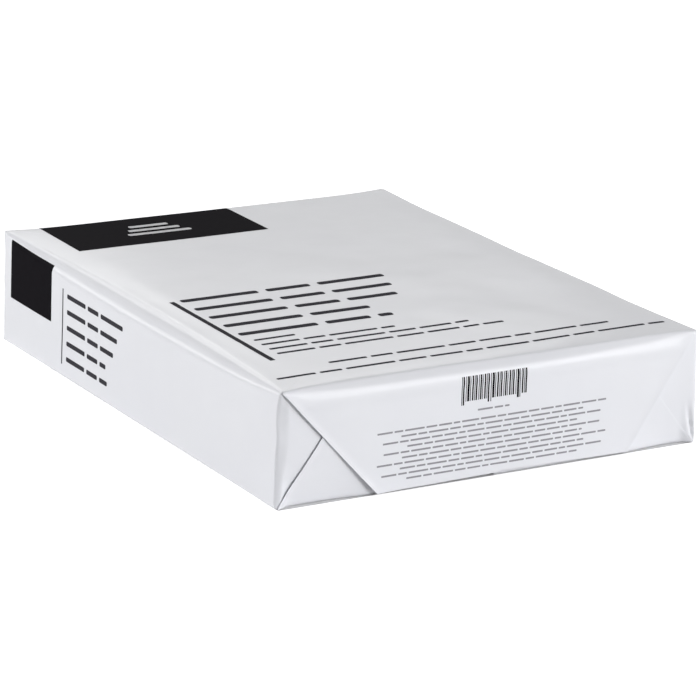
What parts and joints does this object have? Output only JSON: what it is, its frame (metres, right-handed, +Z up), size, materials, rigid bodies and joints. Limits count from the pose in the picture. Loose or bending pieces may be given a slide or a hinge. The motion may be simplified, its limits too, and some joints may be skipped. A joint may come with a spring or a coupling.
{
  "type": "ream of paper",
  "caption": "Sealed pack of A4 copier paper in a coated white wrapper, with envelope-folded ends, soft edges and a lengthwise lap underneath.",
  "frame": {"origin": "centre of the underside, on the surface that the pack lies on", "axes": "+X across the sheets, +Y along them from the near folded end to the far one, +Z up through the stack"},
  "size_m": [0.212, 0.2994, 0.0529],
  "materials": {
    "wrapping_paper": "coated white wrapping paper, semi-gloss, with dark printed fields"
  },
  "bodies": {
    "root": {"wrapped_ream": "wrapping_paper"}
  },
  "joints": []
}
